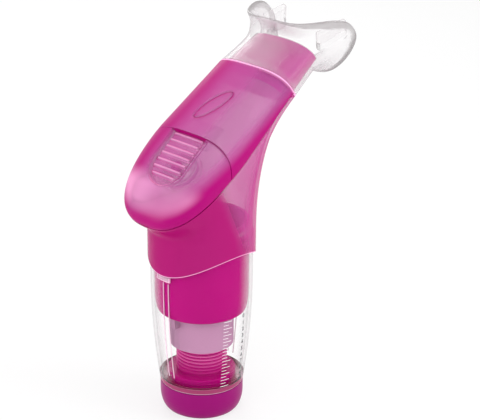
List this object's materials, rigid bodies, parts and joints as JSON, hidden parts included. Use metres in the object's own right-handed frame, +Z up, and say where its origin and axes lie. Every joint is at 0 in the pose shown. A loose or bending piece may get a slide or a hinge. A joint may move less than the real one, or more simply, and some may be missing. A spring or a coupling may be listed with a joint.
{
  "type": "breathing trainer",
  "caption": "Hand-held breathing trainer: a tilted magenta handle with a clear lip-shield mouthpiece, above a clear sleeve that shows a screw-and-nut spring load set by a base knob.",
  "frame": {"origin": "middle of the base knob's flat resting face, on the load unit's axis", "axes": "+Z up along the load unit's axis; the handle leans towards +X and its covers face -X"},
  "size_m": [0.1096, 0.0548, 0.1849],
  "materials": {
    "magenta_shell": "translucent, polished",
    "magenta_cover": "translucent, polished",
    "magenta_deep": "translucent, polished",
    "magenta_knob": "satin",
    "frosted_pink": "frosted",
    "clear_sleeve": "clear, polished",
    "clear_part": "clear, moulded",
    "soft_clear": "clear silicone",
    "steel": "drawn wire and turned rod"
  },
  "bodies": {
    "housing": {"body_shell": "magenta_shell", "airway_front": "magenta_shell", "mouth_spigot": "magenta_shell", "valve_chamber": "magenta_deep", "chamber_seal": "soft_clear", "valve_seat": "clear_part", "calibrator_sleeve": "clear_sleeve", "outlet_seat": "clear_part", "flap_button": "magenta_deep", "handle_cover": "magenta_cover"},
    "knob_and_screw": {"base_knob": "magenta_knob", "drive_screw": "magenta_deep", "glide_washer": "soft_clear"},
    "load_nut": {"tension_nut": "frosted_pink"},
    "inlet_valve": {"poppet": "magenta_deep", "poppet_seal": "soft_clear", "valve_stem": "steel", "spring_plate": "steel", "stem_clip": "steel", "load_spring": "steel"},
    "outlet_valve": {"outlet_flap": "soft_clear"},
    "thumb_end": {"thumb_cover": "magenta_cover", "cover_tongue": "magenta_cover"},
    "mouth_end": {"mouthpiece": "soft_clear"}
  },
  "joints": [
    {"name": "knob_turn", "type": "hinge", "parent": "housing", "child": "knob_and_screw", "pos_m": [0, 0, 0.0172], "axis": [0, 0, 1], "range_deg": [0, 2520]},
    {"name": "nut_travel", "type": "slide", "parent": "housing", "child": "load_nut", "axis": [0, 0, -1], "range_m": [0, 0.01225], "deforming": ["load_spring"]},
    {"name": "inlet_lift", "type": "slide", "parent": "housing", "child": "inlet_valve", "axis": [0, 0, 1], "range_m": [0, 0.003], "stiffness_N_per_m": 600, "springref_m": -0.002},
    {"name": "outlet_lift", "type": "slide", "parent": "housing", "child": "outlet_valve", "axis": [-0.5934, 0, 0.8049], "range_m": [0, 0.0015], "stiffness_N_per_m": 20, "springref_m": -0.0005},
    {"name": "thumb_cover_off", "type": "slide", "parent": "housing", "child": "thumb_end", "axis": [-0.8049, 0, -0.5934], "range_m": [0, 0.03]},
    {"name": "mouthpiece_pull", "type": "slide", "parent": "housing", "child": "mouth_end", "axis": [0.8526, 0, 0.5225], "range_m": [0, 0.022]}
  ],
  "couplings": [
    {"joint": "nut_travel", "follows": "knob_turn", "m_per_rad": 0.00027852}
  ]
}
